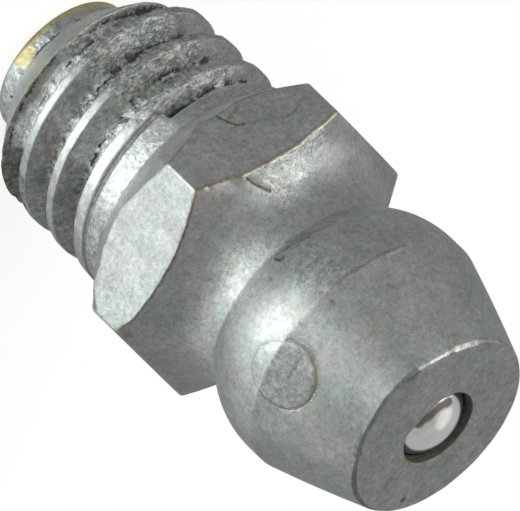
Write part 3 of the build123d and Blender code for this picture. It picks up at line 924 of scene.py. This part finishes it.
# ----------------------------------------------------------------------------------------------
# materials
# ----------------------------------------------------------------------------------------------
class Nodes:
    """Short spelling for node trees; numbers and sockets can be mixed freely."""

    def __init__(self, name):
        self.mat = bpy.data.materials.new(name)
        self.mat.use_nodes = True
        self.tree = self.mat.node_tree
        self.bsdf = self.tree.nodes["Principled BSDF"]
        coord = self.tree.nodes.new("ShaderNodeTexCoord").outputs["Object"]
        scale = self.tree.nodes.new("ShaderNodeVectorMath")
        scale.operation = "SCALE"
        self.tree.links.new(coord, scale.inputs[0])
        scale.inputs["Scale"].default_value = 1000.0
        self.p = scale.outputs[0]                     # position in mm
        wander = self.tree.nodes.new("ShaderNodeTexNoise")
        wander.inputs["Scale"].default_value = 6.0
        wander.inputs["Detail"].default_value = 2.0
        self.put(wander.inputs["Vector"], self.p)
        shift = self.vmath("SUBTRACT", wander.outputs["Color"], (0.5, 0.5, 0.5))
        self.pw = self.vmath("ADD", self.p, self.tint(shift, 0.10))   # the same, wandering a little, for hand-made lines

    def put(self, socket, value):
        if isinstance(value, bpy.types.NodeSocket):
            self.tree.links.new(value, socket)
        elif isinstance(value, (tuple, list)) and len(value) == 3 and socket.type == "RGBA":
            socket.default_value = (*value, 1)
        else:
            socket.default_value = value

    def math(self, op, a, b=0.0, c=0.0, clamp=False):
        n = self.tree.nodes.new("ShaderNodeMath")
        n.operation, n.use_clamp = op, clamp
        for i, v in enumerate((a, b, c)):
            self.put(n.inputs[i], v)
        return n.outputs[0]

    def add(self, a, b):
        return self.math("ADD", a, b)

    def sub(self, a, b):
        return self.math("SUBTRACT", a, b)

    def mul(self, a, b):
        return self.math("MULTIPLY", a, b)

    def vmath(self, op, a, b=(0, 0, 0)):
        n = self.tree.nodes.new("ShaderNodeVectorMath")
        n.operation = op
        self.put(n.inputs[0], a)
        self.put(n.inputs[1], b)
        return n.outputs["Value" if op in ("LENGTH", "DISTANCE", "DOT_PRODUCT") else "Vector"]

    def noise(self, scale, detail=3.0, rough=0.6, at=(0, 0, 0), stretch=None, distort=0.0):
        v = self.vmath("ADD", self.p, at)
        if stretch:
            v = self.vmath("MULTIPLY", v, stretch)
        n = self.tree.nodes.new("ShaderNodeTexNoise")
        self.put(n.inputs["Vector"], v)
        n.inputs["Scale"].default_value = scale
        n.inputs["Detail"].default_value = detail
        n.inputs["Roughness"].default_value = rough
        n.inputs["Distortion"].default_value = distort
        return n.outputs["Fac"]

    def cells(self, scale, at=(0, 0, 0), feature="F1", rand=1.0):
        n = self.tree.nodes.new("ShaderNodeTexVoronoi")
        self.put(n.inputs["Vector"], self.vmath("ADD", self.p, at))
        n.feature = feature
        n.inputs["Scale"].default_value = scale
        n.inputs["Randomness"].default_value = rand
        return n.outputs["Distance"]

    def step(self, x, a, b, lo=0.0, hi=1.0):
        n = self.tree.nodes.new("ShaderNodeMapRange")
        n.interpolation_type = "SMOOTHSTEP"
        for i, v in enumerate((x, a, b, lo, hi)):
            self.put(n.inputs[i], v)
        return n.outputs[0]

    def mask(self, name):
        n = self.tree.nodes.new("ShaderNodeAttribute")
        n.attribute_name = name
        return n.outputs["Fac"]

    def mix(self, fac, a, b):
        """Colours are kept as vectors from end to end."""
        n = self.tree.nodes.new("ShaderNodeMix")
        n.data_type = "VECTOR"
        self.put(n.inputs["Factor"], fac)
        self.put(n.inputs["A"], a)
        self.put(n.inputs["B"], b)
        return n.outputs["Result"]

    def tint(self, colour, f):
        """colour times the number f"""
        n = self.tree.nodes.new("ShaderNodeVectorMath")
        n.operation = "SCALE"
        self.put(n.inputs[0], colour)
        self.put(n.inputs["Scale"], f)
        return n.outputs[0]

    def bump(self, height, distance, strength=1.0, normal=None):
        n = self.tree.nodes.new("ShaderNodeBump")
        self.put(n.inputs["Height"], height)
        n.inputs["Distance"].default_value = distance * MM
        self.put(n.inputs["Strength"], strength)
        if normal is not None:
            self.put(n.inputs["Normal"], normal)
        return n.outputs["Normal"]

    def strokes(self, paths, half):
        """1 on lines through the points (mm), falling to 0 over their rim; half is half the width."""
        nearest = None
        for path in paths:
            for a, b in zip(path[:-1], path[1:]):
                a, d = Vector(a), Vector(b) - Vector(a)
                rel = self.vmath("SUBTRACT", self.pw, tuple(a))
                share = self.math("ADD", self.vmath("DOT_PRODUCT", rel, tuple(d / d.length_squared)), 0.0, clamp=True)
                dist = self.vmath("DISTANCE", rel, self.tint(tuple(d), share))
                nearest = dist if nearest is None else self.math("MINIMUM", nearest, dist)
        return self.step(nearest, half * 0.6, half * 1.5, 1.0, 0.0)

    def out(self, **kw):
        for k, v in kw.items():
            self.put(self.bsdf.inputs[k.replace("_", " ")], v)
        return self.mat


def zinc_plating():
    """Dull zinc plate over turned and rolled steel: fine grain, faint clouds, grime with painted shade, chromate, bare
    and torn metal with painted highlights, and painted glints.
    """
    g = Nodes("zinc plated steel")
    edge0 = g.sub(g.noise(5.5, 4, 0.8, at=(5, 5, 8)), 0.5)                # these break up the borders of the marks
    frays0 = g.sub(g.noise(13.0, 2, 0.8, at=(9, 1, 5), stretch=(1, 1, 1.4)), 0.5)

    def worn(name, lo, hi, amount=0.9, fray=0.0):
        m = g.add(g.mask(name), g.mul(edge0, amount))
        return g.step(g.add(m, g.mul(frays0, fray)) if fray else m, lo, hi)

    strand = g.noise(5.5, 3, 0.85, at=(2, 7, 5), stretch=(1, 1, 3.4))
    streak = g.mask("streak")
    value = g.add(1.0, g.mul(g.sub(g.noise(1.3, 2, 0.9), 0.5), 0.60))
    value = g.add(value, g.mul(g.sub(g.noise(8.5, 3, 1.0, at=(3, 8, 2)), 0.5), 1.35))   # 0.12 mm down to 0.015 mm
    blot = g.step(g.noise(8.0, 3, 0.8, at=(6, 1, 3)), 0.38, 0.62)
    value = g.mul(value, g.add(1.0, g.mul(g.mask("mottle"), g.sub(g.mul(blot, 0.95), 0.5))))
    value = g.mul(value, g.add(1.0, g.mul(streak, g.sub(g.mul(g.step(strand, 0.38, 0.62), 0.85), 0.42))))
    speck = g.step(g.noise(11.0, 2, 0.5, at=(1, 6, 2)), 0.62, 0.74)       # small dark pits in the plate
    value = g.mul(value, g.sub(1.0, g.mul(speck, 0.15)))
    value = g.math("MAXIMUM", value, 0.12)

    hue = g.noise(1.1, 3, 0.7, at=(7, 3, 1))
    colour = g.mix(g.step(hue, 0.40, 0.60), (0.578, 0.612, 0.598), (0.622, 0.600, 0.598))
    # lighter where the bright mask is: painted highlights as well as bare and pale metal
    bright = worn("bright", 0.15, 0.85, 0.8, 0.5)
    colour = g.mix(g.mul(bright, 0.72), colour, (0.86, 0.875, 0.865))
    # darker where the darkening mask is: dirt, and painted shade
    dirt_and_shade = worn("dirt_and_shade", 0.10, 0.90, 0.8, 0.5)
    dark_tone = g.mix(g.step(hue, 0.42, 0.58), (0.215, 0.228, 0.225), (0.262, 0.238, 0.215))
    colour = g.mix(g.mul(dirt_and_shade, 0.8), colour, dark_tone)
    colour = g.mix(g.mul(worn("warm", 0.2, 0.9), 0.5), colour, g.vmath("MULTIPLY", colour, (0.98, 0.72, 0.53)))
    # pale glints painted along edges
    pale = worn("edge", 0.45, 0.75, 0.4, 0.5)
    brass = g.mix(pale, g.mix(bright, (0.60, 0.50, 0.245), (0.80, 0.72, 0.36)), (0.90, 0.86, 0.60))
    colour = g.mix(g.mul(worn("gold", 0.32, 0.60, 0.6, 0.5), 0.88), colour, brass)
    colour = g.mix(g.mul(pale, 0.9), colour, (0.92, 0.88, 0.66))
    # near black in crevices and recesses: painted shade with some grime
    crevice_shade_and_grime = worn("crevice_shade_and_grime", 0.40, 0.64, 0.8, 1.5)
    colour = g.mix(g.mul(crevice_shade_and_grime, 0.88), colour, (0.055, 0.050, 0.044))

    tinge = g.noise(3.4, 3, 0.8, at=(5, 2, 6))
    colour = g.vmath("MULTIPLY", colour, g.mix(g.step(tinge, 0.36, 0.64), (1.0, 1.0, 0.955), (1.0, 1.0, 1.045)))

    # scratches and marks of tools and other parts, on the hexagon and the head
    colour, scar = marks(g, colour)
    colour = g.tint(colour, value)

    rough = g.add(0.47, g.mul(g.sub(g.noise(2.6, 4, 0.7, at=(3, 1, 9)), 0.5), 0.22))
    rough = g.sub(rough, g.mul(bright, 0.04))
    rough = g.add(rough, g.mul(dirt_and_shade, 0.08))
    rough = g.add(rough, g.mul(crevice_shade_and_grime, 0.2))
    metal = g.sub(1.0, g.add(g.mul(crevice_shade_and_grime, 0.75), g.mul(dirt_and_shade, 0.15)))
    metal = g.math("MAXIMUM", metal, 0.0)

    fine = g.add(g.mul(g.noise(9.0, 3, 0.8, at=(2, 9, 4)), 0.7), g.mul(g.noise(26.0, 2, 0.6, at=(4, 4, 4)), 0.3))
    n = g.bump(fine, 0.008, 0.9)
    n = g.bump(g.noise(5.2, 3, 0.62, at=(8, 2, 6)), 0.088, g.add(0.05, g.mul(g.mask("coarse"), 0.80)), n)
    n = g.bump(strand, 0.060, g.mul(streak, 0.85), n)
    n = g.bump(g.sub(1.0, scar), 0.012, 0.8, n)
    return g.out(Base_Color=colour, Roughness=rough, Metallic=metal, Normal=n)


def marks(g, colour):
    """Thin lines laid on the surface one by one; returns the colour and how far each point is inside a scratch."""
    scar = g.math("ADD", 0.0, 0.0)

    def lay(mask, amount, tone, cut=False):
        nonlocal colour, scar
        colour = g.mix(g.mul(mask, amount), colour, tone)
        if cut:
            scar = g.math("MAXIMUM", scar, mask)

    sep = g.tree.nodes.new("ShaderNodeSeparateXYZ")
    g.put(sep.inputs[0], g.p)
    z = sep.outputs["Z"]
    # gleams beside and in the ring mark
    lay(g.strokes([[(0.93, -3.10, 10.90), (0.77, -3.04, 11.22)], [(1.34, -2.76, 11.46), (1.50, -2.68, 11.45)],
                   [(1.00, -2.87, 11.62), (1.10, -2.80, 11.74)]], 0.034), 0.45, (0.84, 0.84, 0.80))
    # the ring mark on the cone, widest on one side, and a second, fainter one on the land
    d1 = g.math("ABSOLUTE", g.sub(g.vmath("DISTANCE", g.pw, (1.53, -2.65, 11.24)), 0.80))
    ring = g.mul(g.step(d1, 0.020, 0.045, 1.0, 0.0), g.step(z, 10.86, 10.90))
    wide = g.mul(g.step(d1, 0.05, 0.13, 1.0, 0.0), g.step(g.vmath("DISTANCE", g.p, (1.03, -2.76, 11.92)), 0.35, 0.85, 1.0, 0.0))
    lay(wide, 0.62, (0.36, 0.31, 0.25))
    lay(ring, 0.42, (0.24, 0.20, 0.155), True)
    d2 = g.math("ABSOLUTE", g.sub(g.vmath("DISTANCE", g.pw, (1.646, -2.788, 11.104)), 0.706))
    lay(g.mul(g.mul(g.step(d2, 0.010, 0.030, 1.0, 0.0), g.step(z, 10.84, 10.88, 1.0, 0.0)), g.step(z, 10.28, 10.34)),
        0.45, (0.32, 0.29, 0.24))
    lay(g.strokes([[(0.94, -2.95, 11.36), (1.25, -2.83, 11.37), (1.52, -2.69, 11.36)]], 0.034), 0.42, (0.18, 0.175, 0.165))
    lay(g.strokes([[(1.75, -2.60, 11.05), (1.55, -2.72, 11.20)], [(1.95, -2.45, 11.25), (1.70, -2.58, 11.45)]], 0.034),
        0.35, (0.24, 0.23, 0.21))
    # a dark line painted as shade where the shading turns across the back of the head, rubs on the back of the head,
    # dark run along the ridge, two pits
    lay(g.strokes([[(-0.10, -2.77, 9.00), (-0.45, -2.80, 9.10), (-0.84, -2.80, 9.22), (-1.22, -2.69, 9.27),
                    (-1.54, -2.58, 9.38)]], 0.055), 0.36, (0.24, 0.25, 0.21))
    lay(g.strokes([[(-0.10, -3.24, 10.20), (-0.46, -3.17, 10.02), (-0.78, -3.12, 10.03)],
                   [(-0.20, -3.23, 10.27), (-0.60, -3.17, 10.13), (-0.95, -3.05, 9.98)],
                   [(-0.50, -3.21, 10.36), (-0.95, -3.10, 10.33)]], 0.042), 0.34, (0.24, 0.27, 0.28))
    lay(g.strokes([[(-0.65, -3.18, 10.84), (-1.20, -3.02, 10.86), (-1.88, -2.65, 10.86), (-2.40, -2.19, 10.87)]], 0.040),
        0.40, (0.27, 0.26, 0.23))
    lay(g.strokes([[(-0.14, -2.85, 9.14), (-0.21, -2.96, 9.30), (-0.27, -2.96, 9.31)]], 0.040), 0.80, (0.12, 0.105, 0.095))
    lay(g.strokes([[(-0.36, -3.16, 11.09), (-0.34, -3.15, 11.13)]], 0.050), 0.50, (0.20, 0.19, 0.18))
    face_pit = g.math("ABSOLUTE", g.sub(g.vmath("DISTANCE", g.p, (1.69, 1.21, 13.48)), 0.055))
    lay(g.step(face_pit, 0.018, 0.045, 1.0, 0.0), 0.65, (0.16, 0.15, 0.14), True)
    # tool marks on one flat
    lay(g.strokes([[(-1.83, -2.98, 6.20), (-2.00, -2.89, 6.27), (-2.28, -2.72, 6.44), (-2.55, -2.57, 6.60)]], 0.034),
        0.22, (0.28, 0.22, 0.16))
    lay(g.strokes([[(-1.56, -3.16, 5.62), (-1.58, -3.13, 5.80), (-1.63, -3.10, 5.95), (-1.69, -3.07, 6.12),
                    (-1.83, -2.98, 6.20)]], 0.036), 0.70, (0.15, 0.115, 0.07), True)
    lay(g.strokes([[(-1.70, -3.06, 5.88), (-1.77, -3.02, 5.84), (-1.93, -2.93, 5.78), (-2.03, -2.87, 5.72)]], 0.048),
        0.42, (0.26, 0.17, 0.12))
    lay(g.strokes([[(-2.55, -2.57, 6.60), (-2.77, -2.44, 6.59), (-2.93, -2.35, 6.54), (-2.98, -2.32, 6.42)]], 0.040),
        0.34, (0.26, 0.20, 0.14))
    # groove that starts at a burr on the hexagon's front edge, a painted glint on the burr, and a painted glint on the
    # next corner
    lay(g.strokes([[(-1.0, -3.37, 7.45), (-1.0, -3.19, 7.55), (-1.08, -2.98, 7.70), (-1.16, -2.84, 7.82)]], 0.026),
        0.75, (0.16, 0.125, 0.08), True)
    lay(g.strokes([[(-1.03, -3.44, 7.41), (-0.97, -3.40, 7.44)]], 0.040), 0.95, (0.95, 0.90, 0.66))
    lay(g.strokes([[(-0.22, -3.89, 7.225), (-0.20, -3.87, 7.25)]], 0.050), 0.95, (0.98, 0.93, 0.70))
    return colour, scar


def bearing_steel():
    """Lapped ball: mirror steel with faint lapping haze and a dark brown strip painted as shade along the port's lip.
    """
    g = Nodes("bearing steel")
    haze = g.noise(3.0, 4, 0.7)
    lap = g.noise(30.0, 3, 0.6, stretch=(1, 1, 0.25))
    colour = g.mix(g.step(haze, 0.35, 0.7), (0.86, 0.86, 0.85), (0.78, 0.775, 0.76))
    # a dark brown strip painted on the ball along the peened lip, as the lip's shade; it also dims the lamp glint there
    film = g.strokes([[(0.24, -0.68, 13.45), (0.05, -0.66, 13.48), (-0.15, -0.63, 13.489), (-0.36, -0.567, 13.475),
                       (-0.53, -0.441, 13.463), (-0.60, -0.39, 13.44)]], 0.10)
    colour = g.mix(g.mul(film, 0.90), colour, (0.135, 0.105, 0.085))
    drop = g.strokes([[(0.42, -0.52, 13.46), (0.20, -0.52, 13.53), (0.0, -0.50, 13.56)]], 0.09)
    colour = g.mix(g.mul(drop, 0.30), colour, (0.62, 0.58, 0.46))
    rough = g.add(g.add(0.17, g.mul(haze, 0.12)), g.mul(film, 0.2))
    n = g.bump(lap, 0.0006, 0.6)
    return g.out(Base_Color=colour, Roughness=rough, Metallic=1.0, Normal=n)


def spring_wire():
    """Drawn wire: streaks along the wire and a thin brown film."""
    g = Nodes("spring wire")
    streak = g.noise(10.0, 3, 0.6, stretch=(1, 1, 6))
    film = g.noise(2.0, 3, 0.6, at=(4, 0, 2))
    colour = g.mix(g.step(film, 0.4, 0.7), (0.50, 0.49, 0.47), (0.33, 0.29, 0.24))
    rough = g.add(0.26, g.mul(streak, 0.2))
    n = g.bump(streak, 0.002, 0.6)
    return g.out(Base_Color=colour, Roughness=rough, Metallic=1.0, Normal=n)


body.data.materials.append(zinc_plating())
ball.data.materials.append(bearing_steel())
spring.data.materials.append(spring_wire())

# ----------------------------------------------------------------------------------------------
# which CAD body each piece rides on
# ----------------------------------------------------------------------------------------------
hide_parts("nipple_body")
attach(body, "fitting")
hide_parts("check_ball")
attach(ball, "ball")
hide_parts("check_spring")
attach(spring, "fitting")
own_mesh(spring)

# ----------------------------------------------------------------------------------------------
# camera
# ----------------------------------------------------------------------------------------------
TILT, ROLL, SPIN = math.radians(60.753), math.radians(44.072), -0.501
DISTANCE = 448.339                    # mm from the camera to the tip face's depth
PX_PER_MM = 44.964                    # at that depth, in the 520 px wide frame
TIP_X, TIP_Y = 3.961, 3.832           # mm from the middle of the frame, right and down

# the part's axis, and the two directions square to it, in camera terms (right, down, forward)
axis_c = np.array([math.sin(TILT) * math.cos(ROLL), math.sin(TILT) * math.sin(ROLL), -math.cos(TILT)])
view_c = np.array([0, 0, -1.0])
front_c = view_c - axis_c * (view_c @ axis_c)
front_c /= np.linalg.norm(front_c)
side_c = np.cross(axis_c, front_c)
t0 = math.radians(-90 - SPIN)
front_w = np.array([math.cos(t0), math.sin(t0), 0])
side_w = np.array([-math.sin(t0), math.cos(t0), 0])
up_w = np.array([0, 0, 1.0])


def to_world(c):
    """A direction given as (right, down, forward) of the main view, in the part's frame."""
    c = np.asarray(c, float)
    return (c @ front_c) * front_w + (c @ side_c) * side_w + (c @ axis_c) * up_w


right_w, down_w, forward_w = (to_world(e) for e in np.eye(3))
eye = np.array([0, 0, LENGTH]) - (TIP_X * right_w + TIP_Y * down_w + DISTANCE * forward_w)
cam_data = bpy.data.cameras.new("camera")
cam = bpy.data.objects.new("camera", cam_data)
bpy.context.scene.collection.objects.link(cam)
cam_data.sensor_fit = "HORIZONTAL"
cam_data.sensor_width = 36.0
cam_data.lens = PX_PER_MM * DISTANCE * 36.0 / 520
cam_data.clip_start, cam_data.clip_end = 0.01, 50
m = Matrix.Identity(4)
for i in range(3):
    m[i][0], m[i][1], m[i][2] = right_w[i], -down_w[i], -forward_w[i]
    m[i][3] = eye[i] * MM
cam.matrix_world = m
bpy.context.scene.camera = cam

# ----------------------------------------------------------------------------------------------
# floor and lights
# ----------------------------------------------------------------------------------------------
def backdrop():
    """A flat floor that curves up into a wall all round, so that every view ends on the same pale tone."""
    rings = [(0.0, 0.0)] + [(r, 0.0) for r in (0.05, 0.2, 0.5, 0.9)]
    rings += [(0.9 + 0.6 * math.sin(a), 0.6 - 0.6 * math.cos(a)) for a in np.radians(np.linspace(10, 90, 9))]
    rings += [(1.5, 1.2), (1.5, 2.4)]
    n, pts, fs = 72, [(0, 0, 0)], []
    for r, z in rings[1:]:
        for k in range(n):
            a = 2 * math.pi * k / n
            pts.append((r * math.cos(a), r * math.sin(a), z))
    for k in range(n):
        fs.append((0, 1 + k, 1 + (k + 1) % n))
    for i in range(len(rings) - 2):
        for k in range(n):
            m = (k + 1) % n
            a, b = 1 + i * n, 1 + (i + 1) * n
            fs.append((a + k, b + k, b + m, a + m))
    me = bpy.data.meshes.new("floor")
    me.from_pydata([(x, y, z - 0.00002) for x, y, z in pts], [], fs)
    me.polygons.foreach_set("use_smooth", [True] * len(me.polygons))
    ob = bpy.data.objects.new("floor", me)
    bpy.context.scene.collection.objects.link(ob)
    return ob


floor = backdrop()
fm = bpy.data.materials.new("floor")
fm.use_nodes = True
fb = fm.node_tree.nodes["Principled BSDF"]
fb.inputs["Base Color"].default_value = (0.62, 0.62, 0.62, 1)
fb.inputs["Roughness"].default_value = 1.0
fb.inputs["Specular IOR Level"].default_value = 0.0
fb.inputs["Emission Color"].default_value = (1, 1, 1, 1)
fb.inputs["Emission Strength"].default_value = 0.74
floor.data.materials.append(fm)
# it only stands behind the part: the part is lit by the lamps and the sky around it
floor.visible_glossy = floor.visible_diffuse = floor.visible_shadow = False

world = bpy.data.worlds.new("world")
bpy.context.scene.world = world
world.use_nodes = True
world.node_tree.nodes["Background"].inputs["Color"].default_value = (0.985, 1.0, 0.99, 1)
world.node_tree.nodes["Background"].inputs["Strength"].default_value = 0.268

scene = bpy.context.scene
scene.view_settings.view_transform = "Standard"


COOL, PLAIN = (0.90, 1.0, 0.975), (1.0, 1.0, 0.985)


def softbox(name, direction, power, colour=COOL, size=0.194, distance=0.4):
    """A round soft light in a direction given as (right, down, forward) of the main view, aimed at the part."""
    d = to_world(direction)
    d /= np.linalg.norm(d)
    data = bpy.data.lights.new(name, "AREA")
    data.shape = "DISK"
    data.size = size
    data.energy = power
    data.color = colour
    ob = bpy.data.objects.new(name, data)
    scene.collection.objects.link(ob)
    ob.location = Vector(d * distance + np.array([0, 0, LENGTH * 0.5 * MM]))
    ob.rotation_mode = "QUATERNION"
    ob.rotation_quaternion = Vector(d).to_track_quat("Z", "Y")
    return ob


softbox("left_main", (-0.95, -0.18, -0.27), 0.375)
softbox("left_low", (-0.92, 0.36, -0.11), 0.094)
softbox("left_lower", (-0.79, 0.53, 0.30), 0.067)
softbox("left_behind", (-0.87, -0.29, 0.39), 0.113)
softbox("left_front", (-0.68, -0.29, -0.67), 0.174)
softbox("left_high", (-0.66, -0.62, -0.42), 0.069)
softbox("front", (-0.39, -0.02, -0.92), 0.078)
softbox("right_main", (0.92, 0.01, -0.39), 0.135, PLAIN)
softbox("right_front", (0.73, -0.25, -0.64), 0.177, PLAIN)
softbox("right_side", (0.98, -0.20, 0.02), 0.079, PLAIN)

# two wide reflectors that only the ball mirrors
only_ball = bpy.data.collections.new("only_ball")
only_ball.objects.link(ball)
for name, direction, power, size in (("ball_right", (0.87, 0.47, 0.12), 0.060, 0.2475), ("ball_low", (0.62, 0.74, 0.14), 0.80, 1.24)):
    softbox(name, direction, power, PLAIN, size).light_linking.receiver_collection = only_ball
